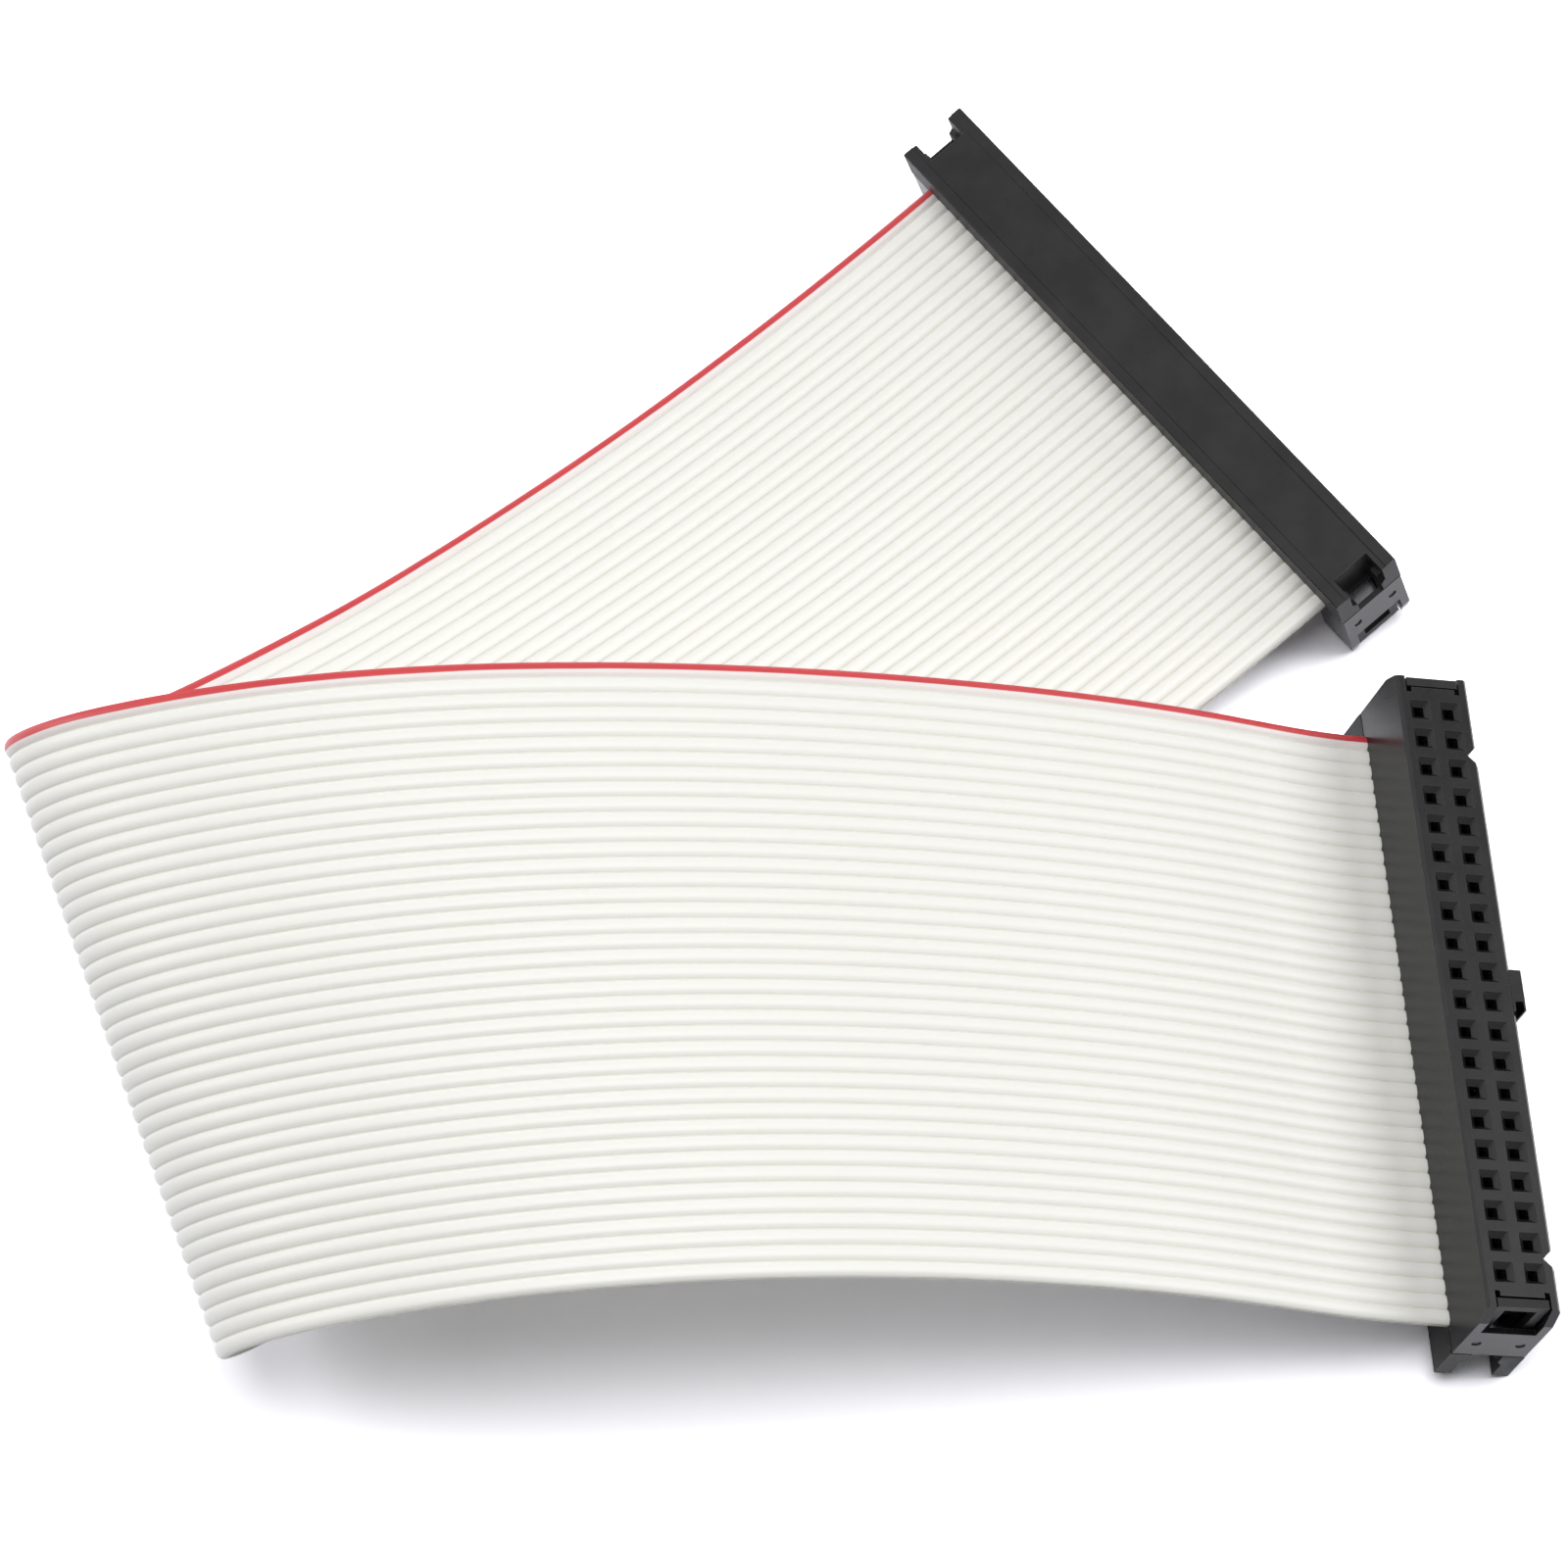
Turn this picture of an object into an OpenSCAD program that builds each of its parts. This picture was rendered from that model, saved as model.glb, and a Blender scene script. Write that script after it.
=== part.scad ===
// Flat ribbon cable with a moulded socket crimped on each end, in millimetres.
// It lies on its lower bend and on the edges of its sockets. X runs to the right,
// Z is up, and the origin is under the middle of the cable, on the surface below it.
// The cable is a sheet that only bends: its centre line turns about rulings that may
// lean away from the crosswise direction, so that the sheet never stretches.

/* [Cable] */
// Number of wires side by side
wires = 40; // [20:2:44]
// Distance between the centres of neighbouring wires
wire_pitch = 1.27; // [1.25:0.01:1.3]
// Thickness of the insulation over a wire
jacket_t = 0.9; // [0.8:0.05:1]
// Thickness of the web between two wires
web_t = 0.4; // [0.3:0.05:0.6]
// Width of the flat crest over each wire
crest_w = 0.6; // [0.4:0.05:0.8]
// Distance from a core's centre to its corners
core_r = 0.25; // [0.2:0.01:0.3]

/* [Socket] */
// Distance between the two rows of pin holes
row_pitch = 2.54; // [2.4:0.02:2.6]
// Width of the body, across the rows
body_w = 6; // [5.8:0.1:7]
// Height of the body, from the cable's middle to the mating face
body_h = 7.2; // [6.8:0.1:9]
// Wall from the last pin hole's centre to the body's end, at the cable
end_wall = 3.52; // [3.4:0.02:4]
// Wall from the last pin hole's centre to the body's end, at the mating face
face_wall = 2.97; // [2.9:0.01:3.1]
// Height over which the body's ends slope in
slope_h = 1.8; // [1:0.1:2.5]
// Chamfer along the mating face
face_chamfer = 0.25; // [0.1:0.05:0.4]
// Width of the square pin hole
pin_hole = 0.8; // [0.7:0.05:1]
// Width of the square funnel round a pin hole
funnel_w = 1.7; // [1.4:0.05:1.9]
// Depth of that funnel
funnel_d = 0.45; // [0.3:0.05:0.6]
// Thickness of the roof between a chamber and the mating face
roof_t = 1.1; // [0.9:0.1:1.5]
// Length of a contact's chamber, along the row
chamber_l = 2; // [1.9:0.05:2.1]
// Width of a contact's chamber, across the row
chamber_w = 1.4; // [1.3:0.05:1.5]
// Length of the polarising key on the body's side
key_l = 3.5; // [3:0.1:5]
// How far that key stands out
key_out = 1; // [0.6:0.1:1.5]
// Height of that key, down from the mating face
key_h = 5.2; // [3:0.1:5.5]
// Length of the recess in one end of the key
recess_l = 0.8; // [0.5:0.1:1.2]
// Width of the two V grooves in the body's side
vee_w = 1.7; // [1:0.1:2]
// Depth of those grooves
vee_d = 0.85; // [0.4:0.05:0.9]

/* [Cover] */
// Width of the cover, across the rows
cover_w = 6.1; // [5.9:0.1:7]
// Height of the cover, from the cable's middle to its back
cover_h = 3.6; // [3:0.1:5]
// Width of the two ribs along the cover's back
rib_w = 1; // [0.6:0.1:1.3]
// Depth of the band between those ribs
band_d = 0.1; // [0.05:0.05:0.4]
// Chamfer along the cover's back edges
cover_chamfer = 0.1; // [0.05:0.05:0.3]
// Width of the notch in each end of the cover
notch_w = 3.4; // [3:0.1:3.8]
// Depth of that notch, along the row
notch_d = 2; // [1.8:0.1:2.3]
// How far the notch's sides step in towards the body
lip_w = 0.45; // [0.3:0.05:0.6]
// Height of that step, from the body
lip_h = 1.2; // [1:0.1:1.8]
// Thickness of the latch frame, along the row
latch_t = 0.73; // [0.6:0.01:0.8]
// Width of the latch frame, across the rows
latch_w = 4.2; // [3.8:0.1:4.6]
// Width of the frame's two legs
leg_w = 0.8; // [0.5:0.05:1]
// Height of the frame's cross-bar
bar_h = 0.7; // [0.5:0.05:1]
// Height of the end plate in front of the frame's legs
plate_h = 3.8; // [3:0.1:4.2]
// Thickness of that plate
plate_t = 0.5; // [0.4:0.05:0.6]

/* [Contacts] */
// Thickness of the contact's sheet metal
sheet_t = 0.25; // [0.2:0.01:0.3]
// Width of the fork that cuts into the insulation
fork_w = 1; // [0.9:0.05:1.1]
// Width of the fork's slot, which grips the core
fork_slot = 0.3; // [0.24:0.02:0.36]
// Reach of the tines past the cable's middle
tine_reach = 1.15; // [1:0.05:1.4]
// Width of the two spring leaves
leaf_w = 0.7; // [0.5:0.05:0.9]
// Gap between the leaves where they grip a pin
leaf_gap = 0.5; // [0.4:0.02:0.6]

/* [Clearances] */
// Play between the cable and the grooves that hold it
cable_fit = 0.02; // [0.01:0.01:0.05]
// Slit round the latch frame in the body
latch_fit = 0.15; // [0.1:0.05:0.2]
// Play round the tines in the cover
tine_fit = 0.12; // [0.08:0.02:0.16]
// Gap between the cover and the body, seen at their ends
seam_gap = 0.12; // [0.08:0.02:0.2]

/* [Hidden] */

// The far socket's place: its middle at the cable, the way the cable leaves, and its tip-down
far_at = [30.859, 33.578, 7.777];
far_heading = 217.8;
far_tip = 15.8;

// Curvature of the cable's middle line, in degrees a millimetre, by distance along it
BEND = [[0, -0.37], [25, -0.33], [50, -0.19], [70, -0.355], [85, -0.57], [91, -1.15], [97, -3.55],
        [103, -6.65], [109, -7.1], [115, -3.25], [122, -1.26], [135, -0.875], [155, -0.515],
        [180, -0.335], [200, -0.535], [207, 0.95], [214, 1.45]];
// Lean of the rulings from the crosswise direction, in degrees, by distance along it
LEAN = [[0, 0], [25, -6], [45, 11], [65, 23], [82, 37], [94, 25], [104, 13], [120, 19], [150, 17],
        [175, 5], [195, -4], [207, -3], [214, 0]];
// Free length between the sockets, and where it has a ring of points
free_l = 214;
RINGS = [0, 33, 60, 84, 94, 99, 105, 110, 117, 128, 142, 168, 202, 214];
march = 1;

// Sizes that follow from the ones above
columns = wires / 2;
pin_pitch = 2 * wire_pitch;
last_pin = (columns - 1) / 2 * pin_pitch;
cable_w = wires * wire_pitch;
cable_mid = jacket_t / 2;
web_mid = web_t / 2;
body_end = last_pin + end_wall;
face_end = last_pin + face_wall;
seat = body_w / 2;
key_top = body_h - face_chamfer;
// How far the latch frame lies inside the mating face's end and below it, and its inner face
bar_inset = 0.1;
bar_drop = 0.05;
bar_in = last_pin + face_wall - latch_t - bar_inset;
// Depth of the seam's gap, and of the recess in the key
seam_d = 0.4;
recess_d = 1.5;
// Wall that the recess leaves on each side
recess_wall = 0.15;
// The V grooves' places, counted in columns from the first
VEE_COLUMNS = [1.5, columns - 1.5];
// Round mould marks on the end plate, and square nicks inside the cross-bar's corners
mark_y = 1.8;
mark_r = 0.38;
mark_d = 0.1;
nick = 0.44;
// Base of a contact, and its leaves' play in the chamber, tip and grip below the roof
base_z = 1.4;
base_t = 0.4;
leaf_fit = 0.1;
leaf_drop = 1.2;
grip_drop = 1;
// How far a cut runs past the face that it opens
slack = 1;

function wire_x(k) = (k - (wires - 1) / 2) * wire_pitch;
function pin_x(k) = (floor(k / 2) - (columns - 1) / 2) * pin_pitch;
function row_y(k) = (k % 2 == 0 ? -1 : 1) * row_pitch / 2;
function chamber_x(k) = (wire_x(k) + pin_x(k)) / 2;

// A frame is [place, along the cable, across it, out of its body side]
function turned(v, axis, angle) =
    v * cos(angle) + cross(axis, v) * sin(angle) + axis * (axis * v) * (1 - cos(angle));
function turned_frame(f, place, axis, angle) =
    [place, turned(f[1], axis, angle), turned(f[2], axis, angle), turned(f[3], axis, angle)];
function moved_frame(f, distance) = [f[0] + f[1] * distance, f[1], f[2], f[3]];
function ruling(f, lean) = f[2] + tan(lean) * f[1];

// One step along the cable: it turns about the ruling, and its middle line follows
function next_frame(f, s) =
    let (axis = ruling(f, lookup(s, LEAN)), size = norm(axis),
         angle = lookup(s, BEND) * march * size,
         halfway = turned(f[1], axis / size, angle / 2))
    turned_frame(f, f[0] + halfway * march, axis / size, angle);

// The far socket hangs its mating face down, so its body side points down too
flat_t = [cos(far_heading), sin(far_heading), 0];
flat_b = cross(flat_t, [0, 0, -1]);
far_frame = turned_frame([far_at, flat_t, flat_b, [0, 0, -1]], far_at, flat_b, far_tip);
path = [for (s = 0, f = moved_frame(far_frame, seat); s <= free_l;
             f = next_frame(f, s + march / 2), s = s + march) f];
near_frame = moved_frame(path[free_l / march], seat);

// The stations of the jacket's rings: cut end, the free length, cut end
stations = concat([[moved_frame(far_frame, -seat), 0]],
                  [for (s = RINGS) [path[s / march], lookup(s, LEAN)]],
                  [[moved_frame(near_frame, seat), 0]]);

// Section of the cable: valley, crest, crest for each wire, and one last valley
WIRE = [[-wire_pitch / 2, web_mid], [-crest_w / 2, cable_mid], [crest_w / 2, cable_mid]];
section = concat([for (k = [0 : wires - 1], p = WIRE) [wire_x(k) + p[0], p[1]]],
                 [[cable_w / 2, web_mid]]);
CORE = [for (a = [90, 210, 330]) core_r * [cos(a), sin(a)]];
edge_n = len(section);
ring_n = 2 * edge_n + len(CORE) * wires;
last_ring = len(stations) - 1;

function on_sheet(station, v, h) = station[0][0] + v * ruling(station[0], station[1]) + h * station[0][3];
function top(r, j) = r * ring_n + j;
function under(r, j) = r * ring_n + edge_n + j;
function bore(r, k, i) = r * ring_n + 2 * edge_n + k * len(CORE) + i % len(CORE);
function quad(a, b, c, d) = [[a, b, c], [a, c, d]];
function flipped(faces) = [for (f = faces) [f[2], f[1], f[0]]];
function joined(lists) = [for (l = lists, item = l) item];

// Faces of a cut end, wire by wire round its core
function end_faces(r) = joined([for (k = [0 : wires - 1]) let (j = 3 * k)
    concat(quad(top(r, j), top(r, j + 1), bore(r, k, 0), bore(r, k, 1)),
           [[top(r, j + 1), top(r, j + 2), bore(r, k, 0)]],
           quad(top(r, j + 2), top(r, j + 3), bore(r, k, 2), bore(r, k, 0)),
           [[top(r, j + 3), under(r, j + 3), bore(r, k, 2)]],
           [[under(r, j + 3), under(r, j + 2), bore(r, k, 2)]],
           quad(under(r, j + 2), under(r, j + 1), bore(r, k, 1), bore(r, k, 2)),
           [[under(r, j + 1), under(r, j), bore(r, k, 1)], [under(r, j), top(r, j), bore(r, k, 1)]])]);

// Faces between one ring and the next
function strip_faces(r) = joined(concat(
    [for (j = [0 : edge_n - 2]) quad(top(r, j), top(r + 1, j), top(r + 1, j + 1), top(r, j + 1))],
    [for (j = [0 : edge_n - 2]) quad(under(r, j), under(r, j + 1), under(r + 1, j + 1), under(r + 1, j))],
    [quad(under(r, 0), under(r + 1, 0), top(r + 1, 0), top(r, 0))],
    [quad(under(r, edge_n - 1), top(r, edge_n - 1), top(r + 1, edge_n - 1), under(r + 1, edge_n - 1))],
    [for (k = [0 : wires - 1], i = [0 : len(CORE) - 1])
        quad(bore(r, k, i), bore(r + 1, k, i), bore(r + 1, k, i + 1), bore(r, k, i + 1))]));

module ribbon_jacket() {
    lower = [for (p = section) [p[0], -p[1]]];
    bores = [for (k = [0 : wires - 1], c = CORE) [wire_x(k) + c[0], c[1]]];
    points = [for (st = stations, p = concat(section, lower, bores)) on_sheet(st, p[0], p[1])];
    faces = concat(end_faces(0), flipped(end_faces(last_ring)),
                   joined([for (r = [0 : last_ring - 1]) strip_faces(r)]));
    color("whitesmoke") polyhedron(points, faces);
}

// One core of the cable, from cut end to cut end
module conductor(k) {
    n = len(CORE);
    points = [for (st = stations, c = CORE) on_sheet(st, wire_x(k) + c[0], c[1])];
    sides = joined([for (r = [0 : last_ring - 1], i = [0 : n - 1])
        quad(r * n + i, r * n + (i + 1) % n, (r + 1) * n + (i + 1) % n, (r + 1) * n + i)]);
    ends = [[2, 1, 0], [last_ring * n, last_ring * n + 1, last_ring * n + 2]];
    polyhedron(points, concat(sides, ends));
}

module conductors() {
    color("peru") for (k = [0 : wires - 1]) conductor(k);
}

// Places its children in a socket's frame: X along the row, Y along the cable, Z to the mating face
module at_frame(f) {
    multmatrix([for (i = [0 : 2]) [f[2][i], f[1][i], f[3][i], f[0][i]]]) children();
}

// Extrudes a profile drawn in X and Z along Y, and one drawn in Y and Z along X
module along_y(length) {
    rotate([90, 0, 0]) linear_extrude(length, center = true) children();
}

module along_x(length) {
    rotate([90, 0, 90]) linear_extrude(length, center = true) children();
}

module each_end() {
    for (side = [0, 1]) mirror([side, 0, 0]) children();
}

// The grooves that hold the wires, with the play round them, on one side of the cable
groove_edge = cable_w / 2 + cable_fit;
groove_web = web_mid + cable_fit;
groove_crest = cable_mid + cable_fit;
groove_w = crest_w + 2 * cable_fit;
function wire_grooves(side) = concat(
    [[-groove_edge, 0], [-groove_edge, side * groove_web]],
    joined([for (k = [0 : wires - 1]) [
        [wire_x(k) - groove_w / 2, side * groove_crest],
        [wire_x(k) + groove_w / 2, side * groove_crest],
        [k < wires - 1 ? wire_x(k) + wire_pitch / 2 : groove_edge, side * groove_web]]]),
    [[groove_edge, 0]]);

module body_block() {
    intersection() {
        along_y(body_w + slack) polygon(concat([[-body_end, 0]], wire_grooves(1),
            [[body_end, 0], [body_end, body_h - slope_h], [face_end, body_h], [-face_end, body_h],
             [-body_end, body_h - slope_h]]));
        along_x(2 * body_end + slack) polygon([[-body_w / 2, -slack], [body_w / 2, -slack],
            [body_w / 2, body_h - face_chamfer], [body_w / 2 - face_chamfer, body_h],
            [face_chamfer - body_w / 2, body_h], [-body_w / 2, body_h - face_chamfer]]);
    }
    translate([-key_l / 2, body_w / 2 - slack, key_top - key_h]) cube([key_l, slack + key_out, key_h]);
}

// The recess in the key, open at the mating face and at one end of the key
module key_recess() {
    translate([key_l / 2 - recess_l, body_w / 2 + recess_wall, key_top - recess_d])
        cube([recess_l + slack, key_out - 2 * recess_wall, recess_d + slack]);
}

// Square funnels, where slopes along the rows cross slopes across them
module funnels() {
    slope = [[-funnel_w / 2, 0], [-pin_hole / 2, -funnel_d], [pin_hole / 2, -funnel_d], [funnel_w / 2, 0],
             [funnel_w / 2, slack], [-funnel_w / 2, slack]];
    translate([0, 0, body_h]) intersection() {
        along_y(body_w) for (j = [0 : columns - 1]) translate([pin_x(2 * j), 0]) polygon(slope);
        along_x(2 * face_end) for (side = [-1, 1]) translate([side * row_pitch / 2, 0]) polygon(slope);
    }
}

// Pocket of one latch frame, behind its end plate and open above it
module latch_pocket() {
    pocket_w = latch_w + 2 * latch_fit;
    pocket_x = bar_in - latch_fit;
    pocket_l = body_end - plate_t - pocket_x;
    translate([pocket_x, -pocket_w / 2, -slack]) cube([pocket_l, pocket_w, body_h + 2 * slack]);
    translate([pocket_x, -pocket_w / 2, plate_h]) cube([pocket_l + plate_t + slack, pocket_w, body_h]);
    for (side = [-1, 1]) {
        translate([pocket_x - nick, side * (pocket_w - nick) / 2 - nick / 2, body_h - 2 * nick])
            cube([2 * nick, nick, 2 * nick + slack]);
        translate([body_end - mark_d, side * mark_y, plate_h / 2]) rotate([0, 90, 0])
            cylinder(h = slack, r = mark_r, $fn = 32);
    }
}

module vee_grooves() {
    for (column = VEE_COLUMNS)
        translate([pin_x(0) + column * pin_pitch, body_w / 2, -slack])
            linear_extrude(body_h + 2 * slack) polygon([
                [-vee_w / 2, slack], [-vee_w / 2, 0], [0, -vee_d], [vee_w / 2, 0], [vee_w / 2, slack]]);
}

// The moulded body: a chamber for each contact, open to the cable, and a hole and funnel over it
module socket_body() {
    difference() {
        body_block();
        for (k = [0 : wires - 1]) {
            translate([chamber_x(k) - chamber_l / 2, row_y(k) - chamber_w / 2, -slack])
                cube([chamber_l, chamber_w, body_h - roof_t + slack]);
            translate([pin_x(k) - pin_hole / 2, row_y(k) - pin_hole / 2, 0])
                cube([pin_hole, pin_hole, body_h + slack]);
        }
        funnels();
        each_end() latch_pocket();
        vee_grooves();
        key_recess();
    }
}

// A latch frame of the cover: two legs and a cross-bar that snaps in just below the mating face
module latch_frame() {
    translate([bar_in + latch_t / 2, 0, 0]) along_x(latch_t) difference() {
        translate([-latch_w / 2, -cover_h / 2]) square([latch_w, body_h - bar_drop + cover_h / 2]);
        translate([leg_w - latch_w / 2, -cover_h])
            square([latch_w - 2 * leg_w, cover_h + body_h - bar_drop - bar_h]);
    }
}

module cover_block() {
    band = cover_w / 2 - rib_w;
    edge = cover_w / 2;
    land = body_end - seam_d;
    intersection() {
        along_y(cover_w + slack) polygon(concat(
            [[-body_end, -cover_h], [-body_end, -seam_gap], [-land, -seam_gap], [-land, 0]],
            wire_grooves(-1),
            [[land, 0], [land, -seam_gap], [body_end, -seam_gap], [body_end, -cover_h]]));
        along_x(2 * body_end + slack) polygon([[-edge, slack], [-edge, cover_chamfer - cover_h],
            [cover_chamfer - edge, -cover_h], [-band - band_d, -cover_h], [-band, band_d - cover_h],
            [band, band_d - cover_h], [band + band_d, -cover_h], [edge - cover_chamfer, -cover_h],
            [edge, cover_chamfer - cover_h], [edge, slack]]);
    }
}

// The notch in one end of the cover, which its lips narrow towards the body
module cover_notch() {
    wide = notch_w / 2;
    tight = wide - lip_w;
    translate([body_end - notch_d + (notch_d + slack) / 2, 0, 0]) along_x(notch_d + slack) polygon([
        [-wide, -cover_h - slack], [wide, -cover_h - slack], [wide, -lip_h - lip_w], [tight, -lip_h],
        [tight, slack], [-tight, slack], [-tight, -lip_h], [-wide, -lip_h - lip_w]]);
}

// The press-on cover: grooves for the wires, pockets for the tines and a latch frame at each end
module socket_cover() {
    pocket_l = fork_w + 2 * tine_fit;
    pocket_w = sheet_t + 2 * tine_fit;
    difference() {
        cover_block();
        each_end() cover_notch();
        for (k = [0 : wires - 1])
            translate([wire_x(k) - pocket_l / 2, row_y(k) - pocket_w / 2, -tine_reach - tine_fit])
                cube([pocket_l, pocket_w, tine_reach + tine_fit]);
    }
    each_end() latch_frame();
}

// One contact: a fork on its wire, a base pressed into the chamber and two leaves at the pin
module contact(k) {
    tip = fork_w / 2 - (fork_w - fork_slot) / 4;
    leaf_top = body_h - roof_t - leaf_drop;
    grip_z = leaf_top - grip_drop;
    root = chamber_w / 2 - sheet_t - leaf_fit;
    base_top = base_z + base_t;
    neck = -tine_reach / 2;
    translate([wire_x(k), row_y(k), 0]) along_y(sheet_t) polygon([
        [-fork_w / 2, base_top], [-fork_w / 2, neck], [-tip, -tine_reach], [-fork_slot / 2, neck],
        [-fork_slot / 2, base_z / 2], [fork_slot / 2, base_z / 2], [fork_slot / 2, neck],
        [tip, -tine_reach], [fork_w / 2, neck], [fork_w / 2, base_top]]);
    translate([chamber_x(k) - chamber_l / 2, row_y(k) - chamber_w / 2, base_z])
        cube([chamber_l, chamber_w, base_t]);
    translate([pin_x(k), row_y(k), 0]) for (side = [0, 1]) mirror([0, side, 0]) along_x(leaf_w) polygon([
        [root, base_z], [root, base_top], [leaf_gap / 2, grip_z], [root, leaf_top],
        [root + sheet_t, leaf_top], [leaf_gap / 2 + sheet_t, grip_z], [root + sheet_t, base_top],
        [root + sheet_t, base_z]]);
}

module contacts() {
    for (k = [0 : wires - 1]) contact(k);
}

module near_socket_body() { color("#3c3c40") at_frame(near_frame) socket_body(); }
module near_socket_cover() { color("#3a3a3a") at_frame(near_frame) socket_cover(); }
module near_contacts() { color("goldenrod") at_frame(near_frame) contacts(); }
module far_socket_body() { color("#3c3c40") at_frame(far_frame) socket_body(); }
module far_socket_cover() { color("#3a3a3a") at_frame(far_frame) socket_cover(); }
module far_contacts() { color("goldenrod") at_frame(far_frame) contacts(); }

ribbon_jacket();
conductors();
near_socket_body();
near_socket_cover();
near_contacts();
far_socket_body();
far_socket_cover();
far_contacts();
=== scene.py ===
"""Dresses a flat ribbon cable with a crimped socket on each end, and stages it for one picture."""
import logging
import math
from dataclasses import dataclass
from enum import Enum

import bpy
import numpy as np
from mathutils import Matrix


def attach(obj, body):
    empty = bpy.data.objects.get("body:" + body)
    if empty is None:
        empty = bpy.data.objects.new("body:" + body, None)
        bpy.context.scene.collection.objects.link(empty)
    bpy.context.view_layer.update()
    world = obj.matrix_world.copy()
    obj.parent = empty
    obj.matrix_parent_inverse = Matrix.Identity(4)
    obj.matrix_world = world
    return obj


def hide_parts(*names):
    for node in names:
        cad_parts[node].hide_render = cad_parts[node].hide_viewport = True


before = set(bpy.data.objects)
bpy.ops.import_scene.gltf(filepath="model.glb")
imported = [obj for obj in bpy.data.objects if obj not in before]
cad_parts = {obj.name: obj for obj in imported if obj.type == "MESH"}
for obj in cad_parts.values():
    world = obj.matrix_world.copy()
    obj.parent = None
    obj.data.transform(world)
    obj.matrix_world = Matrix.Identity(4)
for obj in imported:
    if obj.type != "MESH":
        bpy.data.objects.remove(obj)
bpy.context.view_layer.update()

LOG = logging.getLogger("ribbon_cable")
MM = 0.001
BODY = "root"
JACKET_MAP = "across_and_along"
# Sockets of a Mix node that are in use when it mixes colours
MIX_FACTOR, MIX_FIRST, MIX_SECOND, MIX_RESULT = 0, 6, 7, 2


class Slot(Enum):
    """The record's material slots of the pieces that are built here."""

    INSULATION = "cable_insulation"
    CORE = "copper_core"


class End(Enum):
    """The two ends of the cable, by the first word of their nodes' names."""

    NEAR = "near"
    FAR = "far"


def linear(hex_colour: str) -> tuple[float, float, float, float]:
    """Turns an sRGB hex colour into the linear colour that a shader takes.

    Args:
        hex_colour: Six hex digits after a hash sign.

    Returns:
        Red, green, blue and an alpha of 1.
    """
    # The numbers are those of the sRGB standard
    levels = [int(hex_colour[i:i + 2], 16) / 255 for i in (1, 3, 5)]
    red, green, blue = (c / 12.92 if c <= 0.04045 else ((c + 0.055) / 1.055) ** 2.4 for c in levels)
    return red, green, blue, 1.0


def add_node(tree: bpy.types.NodeTree, kind: str, inputs: dict | None = None, **settings) -> bpy.types.Node:
    """Adds one node to a tree.

    Args:
        tree: The node tree of a material or of the world.
        kind: Blender's name for the node's type.
        inputs: By the input's name or number, a value to set or an output to link from.
        **settings: Attributes of the node, such as its operation.

    Returns:
        The new node.
    """
    node = tree.nodes.new(kind)
    for name, value in settings.items():
        setattr(node, name, value)
    for key, value in (inputs or {}).items():
        if isinstance(value, bpy.types.NodeSocket):
            tree.links.new(value, node.inputs[key])
        else:
            node.inputs[key].default_value = value
    return node


def mixed(tree: bpy.types.NodeTree, factor: bpy.types.NodeSocket, first: object,
          second: object) -> bpy.types.NodeSocket:
    """Adds a mix of two colours.

    Args:
        tree: The node tree to add it to.
        factor: The output that gives the second colour's share.
        first: A colour, or an output that holds one.
        second: The same, for the other colour.

    Returns:
        The output that holds the mixed colour.
    """
    node = add_node(tree, "ShaderNodeMix", {MIX_FACTOR: factor, MIX_FIRST: first, MIX_SECOND: second},
                    data_type="RGBA")
    return node.outputs[MIX_RESULT]


def new_material(name: str) -> tuple[bpy.types.Material, bpy.types.NodeTree, bpy.types.Node]:
    """Makes an empty node material.

    Args:
        name: The material's name.

    Returns:
        The material, its node tree and its output node.
    """
    material = bpy.data.materials.new(name)
    material.use_nodes = True
    tree = material.node_tree
    tree.nodes.clear()
    return material, tree, add_node(tree, "ShaderNodeOutputMaterial")


def background_rays(tree: bpy.types.NodeTree) -> bpy.types.NodeSocket:
    """Gives 1 for rays that see the background: straight, in a reflection or through glass.

    Args:
        tree: The node tree to add the test to.

    Returns:
        The output that holds 1 or 0.
    """
    path = add_node(tree, "ShaderNodeLightPath")
    mirrored = add_node(tree, "ShaderNodeMath", {
        0: path.outputs["Is Camera Ray"], 1: path.outputs["Is Glossy Ray"]}, operation="MAXIMUM")
    every = add_node(tree, "ShaderNodeMath", {
        0: mirrored.outputs[0], 1: path.outputs["Is Transmission Ray"]}, operation="MAXIMUM")
    return every.outputs[0]


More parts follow.
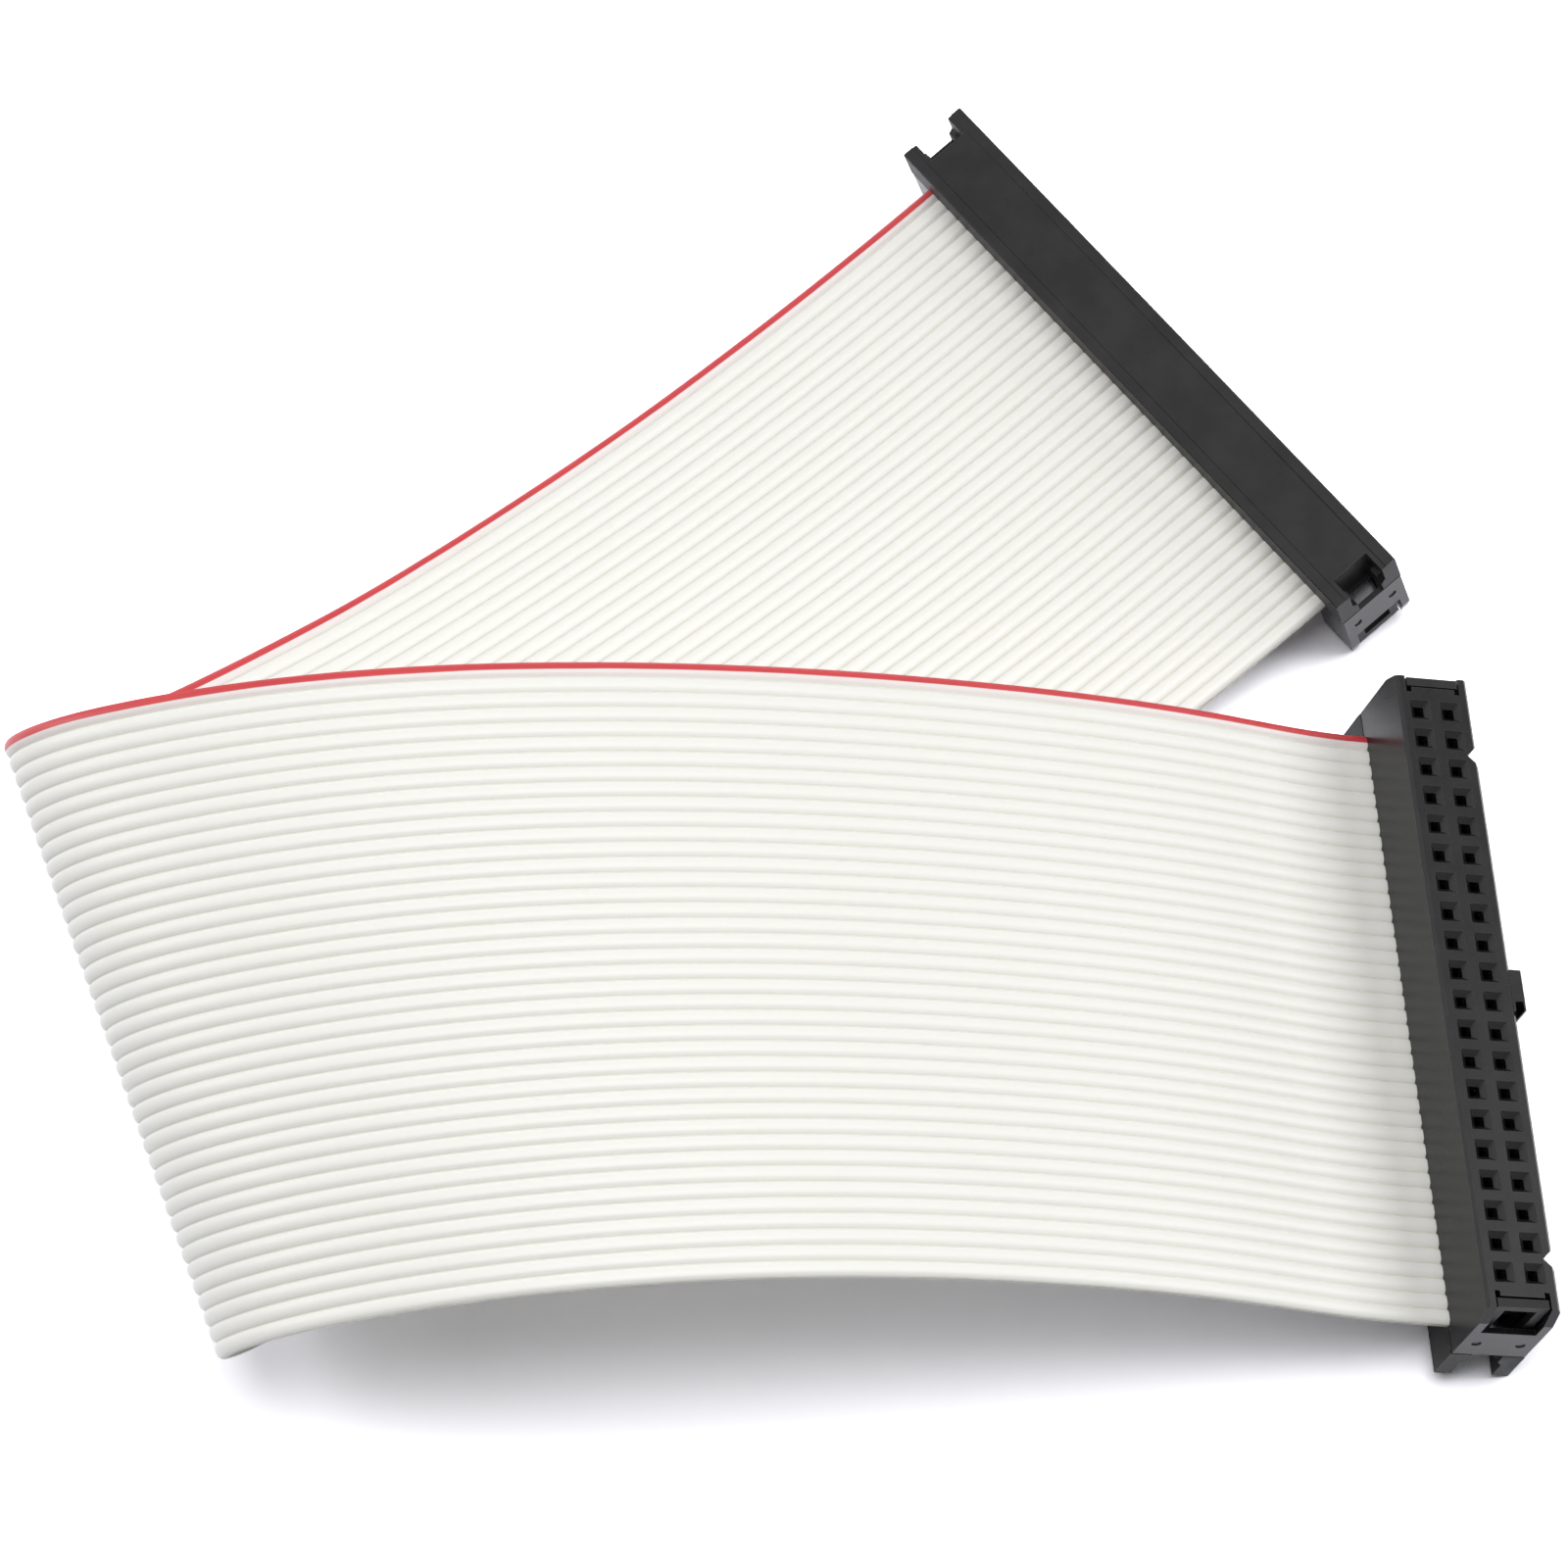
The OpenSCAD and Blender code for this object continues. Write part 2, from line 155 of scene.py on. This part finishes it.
@dataclass(frozen=True)
class ExtrudedPvc:
    """Flexible PVC, extruded over the wires: pale and slightly waxy, with one wire's outer part dyed red."""

    name: str = "extruded_pvc"
    pale: str = "#F9F8F3"
    shaded: str = "#F7F6F0"
    red: str = "#DC4749"
    deep_red: str = "#C4363F"
    blush: str = "#F3EAE8"
    # Painted shade for the grooves between the wires
    painted_groove_shade: str = "#DCDBD2"
    stripe_mm: float = 0.7
    wire_mm: float = 1.27
    feather_mm: float = 0.07
    groove_mm: float = 0.17
    cloud_mm: float = 9.0
    grain_mm: float = 0.12
    skin_mm: float = 0.01
    skin_strength: float = 0.25
    roughness: float = 0.42
    ior: float = 1.53
    wax: float = 0.12
    wax_reach: tuple[float, float, float] = (1.0, 0.9, 0.75)
    wax_mm: float = 0.4

    def build(self, width_mm: float, length_mm: float) -> bpy.types.Material:
        """Builds the material from the jacket's map, which runs across and along the cable.

        Args:
            width_mm: The cable's width, which the map's first axis spans.
            length_mm: The cable's length, which its second axis spans.

        Returns:
            The material.
        """
        material, tree, output = new_material(self.name)
        flat = add_node(tree, "ShaderNodeUVMap", uv_map=JACKET_MAP)
        size = add_node(tree, "ShaderNodeVectorMath", {0: flat.outputs[0], 1: (width_mm, length_mm, 0)},
                        operation="MULTIPLY")
        axes = add_node(tree, "ShaderNodeSeparateXYZ", {0: size.outputs[0]})
        # The dye's edge wanders a little, as it does where two melts meet in the die
        wander = add_node(tree, "ShaderNodeTexNoise", {"W": axes.outputs[1], "Scale": 1 / self.cloud_mm},
                          noise_dimensions="1D")
        edge = add_node(tree, "ShaderNodeMath", {
            0: wander.outputs[0], 1: self.feather_mm, 2: axes.outputs[0]}, operation="MULTIPLY_ADD")
        stripe = add_node(tree, "ShaderNodeMapRange", {
            "Value": edge.outputs[0], "From Min": self.stripe_mm + self.feather_mm,
            "From Max": self.stripe_mm})
        # The rest of that wire looks faintly pink
        blush = add_node(tree, "ShaderNodeMapRange", {
            "Value": edge.outputs[0], "From Min": self.wire_mm,
            "From Max": self.wire_mm - self.feather_mm})
        # Painted shade: the grooves between the wires are painted greyer than the wires, standing in for the
        # shade that falls in them
        column = add_node(tree, "ShaderNodeMath", {0: axes.outputs[0], 1: self.wire_mm / 2},
                          operation="PINGPONG")
        painted_groove_shade = add_node(tree, "ShaderNodeMapRange", {
            "Value": column.outputs[0], "From Min": self.groove_mm, "From Max": 0.0},
            interpolation_type="SMOOTHSTEP")
        # Slow clouds of whiter and greyer PVC along the cable
        cloud = add_node(tree, "ShaderNodeTexNoise", {"Vector": size.outputs[0], "Scale": 1 / self.cloud_mm})
        pale = mixed(tree, cloud.outputs[0], linear(self.pale), linear(self.shaded))
        red = mixed(tree, cloud.outputs[0], linear(self.red), linear(self.deep_red))
        tinged = mixed(tree, blush.outputs[0], pale, linear(self.blush))
        with_painted_groove_shade = mixed(tree, painted_groove_shade.outputs[0], tinged, linear(self.painted_groove_shade))
        colour = mixed(tree, stripe.outputs[0], with_painted_groove_shade, red)
        # Die lines and a fine skin, too small to see as shapes but enough to soften the gloss
        skin = add_node(tree, "ShaderNodeTexNoise", {"Vector": size.outputs[0], "Scale": 1 / self.grain_mm})
        bump = add_node(tree, "ShaderNodeBump", {
            "Height": skin.outputs[0], "Strength": self.skin_strength, "Distance": self.skin_mm * MM})
        # A little light enters the soft PVC and comes out beside, which rounds the ribs' shading
        shader = add_node(tree, "ShaderNodeBsdfPrincipled", {
            "Base Color": colour, "Roughness": self.roughness, "IOR": self.ior, "Normal": bump.outputs[0],
            "Subsurface Weight": self.wax, "Subsurface Radius": self.wax_reach,
            "Subsurface Scale": self.wax_mm * MM})
        tree.links.new(shader.outputs[0], output.inputs[0])
        return material


@dataclass(frozen=True)
class MouldedPolyester:
    """Glass-filled polyester, injection moulded: black, with the tool's finish on it."""

    name: str
    colour: str
    streak: str
    grain_mm: float
    roughness: float
    relief_mm: float
    flow_mm: float = 3.0
    flow_detail: float = 3.0
    flow_range: tuple[float, float] = (0.35, 0.65)
    # Painted highlight along the edges, with its reach, samples and mask range
    painted_edge_highlight: str = "#4C4C4B"
    highlight_reach_mm: float = 0.07
    highlight_samples: int = 6
    highlight_range: tuple[float, float] = (0.995, 0.9)
    grain_detail: float = 4.0
    gloss_spread: float = 0.06
    relief_strength: float = 0.5
    ior: float = 1.33

    def build(self) -> bpy.types.Material:
        """Builds the material, with its grain worked out from the tool's texture.

        Returns:
            The material.
        """
        material, tree, output = new_material(self.name)
        place = add_node(tree, "ShaderNodeTexCoord")
        # Faint greyer flow marks, a few millimetres across
        flow = add_node(tree, "ShaderNodeTexNoise", {
            "Vector": place.outputs["Object"], "Scale": 1 / (self.flow_mm * MM),
            "Detail": self.flow_detail})
        marks = add_node(tree, "ShaderNodeMapRange", {
            "Value": flow.outputs[0], "From Min": self.flow_range[0], "From Max": self.flow_range[1]})
        plain = mixed(tree, marks.outputs[0], linear(self.colour), linear(self.streak))
        # Painted highlight: the edges are painted lighter grey, standing in for the light their rounding
        # catches; there the rounded normal departs from the face's own
        rounded = add_node(tree, "ShaderNodeBevel", {"Radius": self.highlight_reach_mm * MM}, samples=self.highlight_samples)
        face = add_node(tree, "ShaderNodeNewGeometry")
        likeness = add_node(tree, "ShaderNodeVectorMath", {
            0: rounded.outputs[0], 1: face.outputs["Normal"]}, operation="DOT_PRODUCT")
        painted_highlight_mask = add_node(tree, "ShaderNodeMapRange", {
            "Value": likeness.outputs["Value"], "From Min": self.highlight_range[0],
            "From Max": self.highlight_range[1]})
        colour = mixed(tree, painted_highlight_mask.outputs[0], plain, linear(self.painted_edge_highlight))
        # The tool's grain, in relief and in gloss
        grain = add_node(tree, "ShaderNodeTexNoise", {
            "Vector": place.outputs["Object"], "Scale": 1 / (self.grain_mm * MM),
            "Detail": self.grain_detail})
        gloss = add_node(tree, "ShaderNodeMapRange", {
            "Value": grain.outputs[0], "To Min": self.roughness - self.gloss_spread,
            "To Max": self.roughness + self.gloss_spread})
        bump = add_node(tree, "ShaderNodeBump", {
            "Height": grain.outputs[0], "Strength": self.relief_strength, "Distance": self.relief_mm * MM})
        shader = add_node(tree, "ShaderNodeBsdfPrincipled", {
            "Base Color": colour, "Roughness": gloss.outputs[0], "IOR": self.ior, "Normal": bump.outputs[0]})
        tree.links.new(shader.outputs[0], output.inputs[0])
        return material


@dataclass(frozen=True)
class DrawnMetal:
    """Thin metal, drawn or stamped, with a light plating that dulls in patches."""

    name: str
    colour: str
    dull: str
    patch_mm: float
    roughness: float

    def build(self) -> bpy.types.Material:
        """Builds the material.

        Returns:
            The material.
        """
        material, tree, output = new_material(self.name)
        place = add_node(tree, "ShaderNodeTexCoord")
        patch = add_node(tree, "ShaderNodeTexNoise", {
            "Vector": place.outputs["Object"], "Scale": 1 / (self.patch_mm * MM)})
        colour = mixed(tree, patch.outputs[0], linear(self.colour), linear(self.dull))
        shader = add_node(tree, "ShaderNodeBsdfPrincipled", {
            "Base Color": colour, "Roughness": self.roughness, "Metallic": 1.0})
        tree.links.new(shader.outputs[0], output.inputs[0])
        return material


# Warm off-white that shows the ribs by soft shading, with a flat red line along wire 1
PVC = ExtrudedPvc()
# The body's steel mould was polished, so its walls mirror the wires softly
BODY_PLASTIC = MouldedPolyester("polished_polyester", "#0F0F10", "#1B1B1D", 0.35, 0.25, 0.004)
# The cover's mould was spark eroded, so it has a dry, even grain
COVER_PLASTIC = MouldedPolyester("spark_eroded_polyester", "#090909", "#1B1B1B", 0.12, 0.5, 0.012)
# The cores glint as copper dots in the cable's cut ends
DRAWN_COPPER = DrawnMetal("drawn_copper", "#C98E62", "#B5805A", 0.3, 0.35)
# The contacts give a dim yellow gleam deep in the holes
PLATED_BRONZE = DrawnMetal("plated_bronze", "#CBB27A", "#B89A62", 0.5, 0.3)


@dataclass(frozen=True)
class Station:
    """A place on the cable's middle line, with its directions, in millimetres."""

    place: np.ndarray
    along: np.ndarray
    ruling: np.ndarray
    out: np.ndarray
    distance: float

    def points(self, outline: np.ndarray) -> np.ndarray:
        """Places an outline on the sheet.

        Args:
            outline: Rows of distance across the cable and height out of it.

        Returns:
            One point a row, in metres.
        """
        return (self.place + outline[:, :1] * self.ruling + outline[:, 1:] * self.out) * MM


def turned(vector: np.ndarray, axis: np.ndarray, angle: float) -> np.ndarray:
    """Turns a vector about a unit axis.

    Args:
        vector: The vector.
        axis: The unit axis.
        angle: The angle in radians.

    Returns:
        The turned vector.
    """
    return (vector * math.cos(angle) + np.cross(axis, vector) * math.sin(angle)
            + axis * (axis @ vector) * (1 - math.cos(angle)))


@dataclass(frozen=True)
class CableCourse:
    """The cable's way from socket to socket: a sheet that only bends, about rulings that may lean."""

    far_at: tuple[float, float, float] = (30.859, 33.578, 7.777)
    far_heading: float = 217.8
    far_tip: float = 15.8
    seat: float = 3.0
    free: int = 214
    bend: tuple[tuple[float, float], ...] = (
        (0, -0.37), (25, -0.33), (50, -0.19), (70, -0.355), (85, -0.57), (91, -1.15), (97, -3.55),
        (103, -6.65), (109, -7.1), (115, -3.25), (122, -1.26), (135, -0.875), (155, -0.515),
        (180, -0.335), (200, -0.535), (207, 0.95), (214, 1.45))
    lean: tuple[tuple[float, float], ...] = (
        (0, 0), (25, -6), (45, 11), (65, 23), (82, 37), (94, 25), (104, 13), (120, 19), (150, 17),
        (175, 5), (195, -4), (207, -3), (214, 0))
    tight: tuple[int, int] = (86, 126)
    coarse: int = 2

    @property
    def length(self) -> float:
        """The cable's whole length, cut end to cut end, in millimetres.

        Returns:
            The length.
        """
        return self.free + 4 * self.seat

    def stations(self) -> list[Station]:
        """Follows the cable from cut end to cut end.

        Returns:
            Stations a millimetre apart in the tight bend and further apart elsewhere.
        """
        heading, tip = math.radians(self.far_heading), math.radians(self.far_tip)
        out = np.array([0.0, 0.0, -1.0])
        along = np.array([math.cos(heading), math.sin(heading), 0.0])
        across = np.cross(along, out)
        along, out = turned(along, across, tip), turned(out, across, tip)
        place = np.array(self.far_at) - along * self.seat
        found = [Station(place, along, across, out, 0.0)]
        place = place + along * 2 * self.seat
        bend_at, bend = np.array(self.bend, dtype=float).T
        lean_at, lean = np.array(self.lean, dtype=float).T
        for step in range(self.free + 1):
            slope = math.tan(math.radians(np.interp(step, lean_at, lean)))
            inside = self.tight[0] < step < self.tight[1]
            if inside or step % self.coarse == 0:
                found.append(Station(place, along, across + slope * along, out, step + 2 * self.seat))
            # The step of a millimetre turns about the ruling at its middle
            middle = step + 0.5
            axis = across + math.tan(math.radians(np.interp(middle, lean_at, lean))) * along
            size = float(np.linalg.norm(axis))
            angle = math.radians(np.interp(middle, bend_at, bend)) * size
            if step < self.free:
                place = place + turned(along, axis / size, angle / 2)
                along, across, out = (turned(v, axis / size, angle) for v in (along, across, out))
        place = place + along * 2 * self.seat
        found.append(Station(place, along, across, out, self.length))
        return found


def new_piece(name: str, points: np.ndarray, faces: list[list[int]],
              material: bpy.types.Material) -> bpy.types.Object:
    """Makes a mesh object at the origin from points in metres.

    Args:
        name: The piece's name.
        points: One point a row.
        faces: Lists of point numbers.
        material: The piece's material.

    Returns:
        The new object.
    """
    mesh = bpy.data.meshes.new(name)
    mesh.from_pydata(points.tolist(), [], faces)
    mesh.materials.append(material)
    mesh.shade_smooth()
    piece = bpy.data.objects.new(name, mesh)
    bpy.context.scene.collection.objects.link(piece)
    return piece


@dataclass
class RibbonJacket:
    """The insulation: 40 round wires side by side, joined by thin webs."""

    course: CableCourse
    wires: int = 40
    pitch: float = 1.27
    thickness: float = 0.9
    web: float = 0.36
    round_half: float = 0.62
    squareness: float = 2.4
    arc_points: int = 7
    sharp_degrees: float = 50.0

    @property
    def width(self) -> float:
        """The cable's width in millimetres.

        Returns:
            The width.
        """
        return self.wires * self.pitch

    def wire_x(self, wire: int) -> float:
        """Finds a wire's centre.

        Args:
            wire: The wire's number, from 0 at the red edge.

        Returns:
            Its distance from the cable's middle line in millimetres.
        """
        return (wire - (self.wires - 1) / 2) * self.pitch

    def upper_outline(self) -> np.ndarray:
        """Draws the upper half of the section, from the red edge across.

        Returns:
            Rows of distance across and height: a valley, then an arc, for each wire, and a last valley.
        """
        angles = np.linspace(math.pi, 0, self.arc_points + 2)[1:-1]
        power = 2 / self.squareness
        across = self.round_half * np.sign(np.cos(angles)) * np.abs(np.cos(angles)) ** power
        height = self.thickness / 2 * np.sin(angles) ** power
        arc = np.stack([across, np.maximum(height, self.web / 2)], axis=1)
        rows = []
        for wire in range(self.wires):
            rows.append([[self.wire_x(wire) - self.pitch / 2, self.web / 2]])
            rows.append(arc + [self.wire_x(wire), 0.0])
        rows.append([[self.width / 2, self.web / 2]])
        return np.concatenate(rows)

    def build(self, material: bpy.types.Material) -> bpy.types.Object:
        """Sweeps the section along the course and closes both cut ends.

        Args:
            material: The insulation's material.

        Returns:
            The jacket.
        """
        upper = self.upper_outline()
        lower = upper[::-1] * [1, -1]
        outline = np.concatenate([upper, lower])
        stations = self.course.stations()
        count, half = len(outline), len(upper)
        points = np.concatenate([s.points(outline) for s in stations])
        faces = [[r * count + i, r * count + (i + 1) % count,
                  (r + 1) * count + (i + 1) % count, (r + 1) * count + i]
                 for r in range(len(stations) - 1) for i in range(count)]
        stride = self.arc_points + 1
        for ring, forwards in ((0, False), (len(stations) - 1, True)):
            for wire in range(self.wires):
                first = wire * stride
                top = list(range(first, first + stride + 1))
                loop = top + [2 * half - 1 - i for i in reversed(top)]
                loop = [ring * count + i for i in loop]
                faces.append(loop[::-1] if forwards else loop)
        jacket = new_piece("ribbon_insulation", points, faces, material)
        jacket.data.set_sharp_from_angle(angle=math.radians(self.sharp_degrees))
        across = np.tile(outline[:, 0] / self.width + 0.5, len(stations))
        along = np.repeat([s.distance / self.course.length for s in stations], count)
        corner = np.empty(len(jacket.data.loops), dtype=np.int32)
        jacket.data.loops.foreach_get("vertex_index", corner)
        layer = jacket.data.uv_layers.new(name=JACKET_MAP)
        layer.data.foreach_set("uv", np.stack([across[corner], along[corner]], axis=1).ravel())
        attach(jacket, BODY)
        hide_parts("ribbon_jacket")
        return jacket


@dataclass
class CoreSet:
    """The 40 copper cores, drawn round here, which show as bright dots in the cable's cut ends."""

    jacket: RibbonJacket
    radius: float = 0.19
    sides: int = 8
    proud: float = 0.03

    def build(self, material: bpy.types.Material) -> bpy.types.Object:
        """Sweeps every core along the cable.

        Args:
            material: The cores' material.

        Returns:
            The cores as one piece.
        """
        stations = self.jacket.course.stations()
        # Inside the jacket every second station is enough
        stations = stations[:2] + stations[2:-2:2] + stations[-2:]
        turn = np.arange(self.sides) * 2 * math.pi / self.sides
        circle = self.radius * np.stack([np.cos(turn), np.sin(turn)], axis=1)
        points, faces = [], []
        for wire in range(self.jacket.wires):
            base = wire * len(stations) * self.sides
            for number, station in enumerate(stations):
                ring = station.points(circle + [self.jacket.wire_x(wire), 0.0])
                # The cut copper stands a hair proud of the softer insulation
                if number in (0, len(stations) - 1):
                    ring = ring + station.along * self.proud * MM * (1 if number else -1)
                points.append(ring)
                if number:
                    low = base + (number - 1) * self.sides
                    faces += [[low + i, low + (i + 1) % self.sides, low + self.sides + (i + 1) % self.sides,
                               low + self.sides + i] for i in range(self.sides)]
            last = base + (len(stations) - 1) * self.sides
            faces.append([base + i for i in reversed(range(self.sides))])
            faces.append([last + i for i in range(self.sides)])
        cores = new_piece("copper_cores", np.concatenate(points), faces, material)
        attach(cores, BODY)
        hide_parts("conductors")
        return cores


@dataclass
class Socket:
    """One crimped socket: its body, its press-on cover and its contacts, in the shapes of the frame."""

    end: End
    edge_mm: float = 0.06
    edge_segments: int = 2
    weld_mm: float = 0.001
    sharp_degrees: float = 35.0
    flat_degrees: float = 0.5

    def round_edges(self, part: bpy.types.Object) -> None:
        """Breaks a moulded part's edges, which no mould leaves dead sharp.

        Args:
            part: The part's object from the frame.
        """
        weld = part.modifiers.new("weld", "WELD")
        weld.merge_threshold = self.weld_mm * MM
        flat = part.modifiers.new("flat_faces", "DECIMATE")
        flat.decimate_type = "DISSOLVE"
        flat.angle_limit = math.radians(self.flat_degrees)
        bevel = part.modifiers.new("edges", "BEVEL")
        bevel.width = self.edge_mm * MM
        bevel.segments = self.edge_segments
        bevel.limit_method = "ANGLE"
        bevel.angle_limit = math.radians(self.sharp_degrees)
        bevel.harden_normals = True
        bevel.use_clamp_overlap = True

    def dress(self, body: bpy.types.Material, cover: bpy.types.Material,
              contact: bpy.types.Material) -> list[str]:
        """Gives the socket's three nodes their materials and edges.

        Args:
            body: The body's material.
            cover: The cover's material.
            contact: The contacts' material.

        Returns:
            The names of the nodes that were dressed.
        """
        finishes = {"socket_body": body, "socket_cover": cover, "contacts": contact}
        dressed = []
        for part_name, material in finishes.items():
            name = f"{self.end.value}_{part_name}"
            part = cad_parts[name]
            for slot in part.material_slots:
                slot.link = "OBJECT"
                slot.material = material
            if part_name != "contacts":
                self.round_edges(part)
            dressed.append(name)
        return dressed


@dataclass(frozen=True)
class Softbox:
    """A rectangular soft lamp that faces the origin, with its size in metres."""

    name: str
    place: tuple[float, float, float]
    width: float
    depth: float
    level: float

    def build(self) -> None:
        """Adds the lamp, with the power that lights a white card at the origin to its level."""
        lamp = bpy.data.lights.new(self.name, "AREA")
        lamp.shape = "RECTANGLE"
        lamp.size, lamp.size_y = self.width, self.depth
        reach = np.array(self.place)
        distance_squared = float(reach @ reach)
        facing = self.place[2] / math.sqrt(distance_squared)
        # The lamp's spread and the card's each divide the power by pi
        lamp.energy = self.level * math.pi ** 2 * distance_squared / facing
        holder = bpy.data.objects.new(self.name, lamp)
        holder.location = self.place
        holder.rotation_euler = (-holder.location).to_track_quat("-Z", "Y").to_euler()
        bpy.context.scene.collection.objects.link(holder)


@dataclass
class Studio:
    """A white card floor under soft light, and the camera that looks down on the cable."""

    target_mm: tuple[float, float, float] = (1.019, -0.702, 0.017)
    distance_mm: float = 573.5
    elevation: float = 59.8
    focal_px: float = 7350.0
    image_px: float = 1600.0
    sensor_mm: float = 36.0
    clip_m: tuple[float, float] = (0.01, 20.0)
    floor_m: float = 3.0
    sky: str = "#F4F6FA"
    ambient: float = 0.045
    card_bounce: tuple[float, ...] = (0.6, 0.6, 0.62, 1.0)
    card_seen: tuple[float, ...] = (1.86, 1.86, 1.96, 1.0)
    lamps: tuple[Softbox, ...] = (
        Softbox("overhead_softbox", (0.03, -0.06, 0.85), 0.9, 0.5, 0.72),
        Softbox("left_softbox", (-0.85, 0.2, 0.44), 0.6, 0.5, 0.16),
        Softbox("right_softbox", (0.8, 0.12, 0.5), 0.6, 0.6, 0.215))

    def build_camera(self) -> None:
        """Adds the camera, as far off and as long as the picture's was."""
        camera = bpy.data.cameras.new("camera")
        camera.sensor_width = self.sensor_mm
        camera.lens = self.sensor_mm * self.focal_px / self.image_px
        camera.clip_start, camera.clip_end = self.clip_m
        holder = bpy.data.objects.new("camera", camera)
        tilt = math.radians(self.elevation)
        away = np.array([0.0, -math.cos(tilt), math.sin(tilt)]) * self.distance_mm
        holder.location = (np.array(self.target_mm) + away) * MM
        holder.rotation_euler = (math.pi / 2 - tilt, 0.0, 0.0)
        bpy.context.scene.collection.objects.link(holder)
        bpy.context.scene.camera = holder

    def build_floor(self) -> None:
        """Lays the floor: matt white card that the camera sees as white wherever no shadow falls."""
        material, tree, output = new_material("matt_white_card")
        # The camera sees it overexposed, as in the photo, but it gives back only plain card's light
        shade = mixed(tree, background_rays(tree), self.card_bounce, self.card_seen)
        card = add_node(tree, "ShaderNodeBsdfDiffuse", {"Color": shade})
        tree.links.new(card.outputs[0], output.inputs[0])
        half = self.floor_m / 2
        corners = np.array([[-half, -half, 0], [half, -half, 0], [half, half, 0], [-half, half, 0]])
        floor = new_piece("floor", corners, [[0, 1, 2, 3]], material)

    def build_light(self) -> None:
        """Adds the world's even light and the lamps."""
        world = bpy.data.worlds.new("studio")
        bpy.context.scene.world = world
        world.use_nodes = True
        tree = world.node_tree
        tree.nodes.clear()
        even = add_node(tree, "ShaderNodeBackground", {"Color": linear(self.sky), "Strength": self.ambient})
        white = add_node(tree, "ShaderNodeBackground", {"Color": linear("#FFFFFF"), "Strength": 1.0})
        chosen = add_node(tree, "ShaderNodeMixShader", {
            0: background_rays(tree), 1: even.outputs[0], 2: white.outputs[0]})
        output = add_node(tree, "ShaderNodeOutputWorld", {0: chosen.outputs[0]})
        output.is_active_output = True
        for lamp in self.lamps:
            lamp.build()


def main() -> None:
    """Builds the stage, then the cable, then its sockets."""
    logging.basicConfig(level=logging.INFO, format="%(name)s: %(message)s")
    bpy.context.scene.view_settings.view_transform = "Standard"
    studio = Studio()
    studio.build_camera()
    studio.build_floor()
    studio.build_light()
    jacket = RibbonJacket(CableCourse())
    piece = jacket.build(PVC.build(jacket.width, jacket.course.length))
    LOG.info("%s: %d faces", piece.name, len(piece.data.polygons))
    piece = CoreSet(jacket).build(DRAWN_COPPER.build())
    LOG.info("%s: %d faces", piece.name, len(piece.data.polygons))
    body, cover, contact = BODY_PLASTIC.build(), COVER_PLASTIC.build(), PLATED_BRONZE.build()
    for end in End:
        LOG.info("dressed %s", ", ".join(Socket(end).dress(body, cover, contact)))


if __name__ == "__main__":
    main()
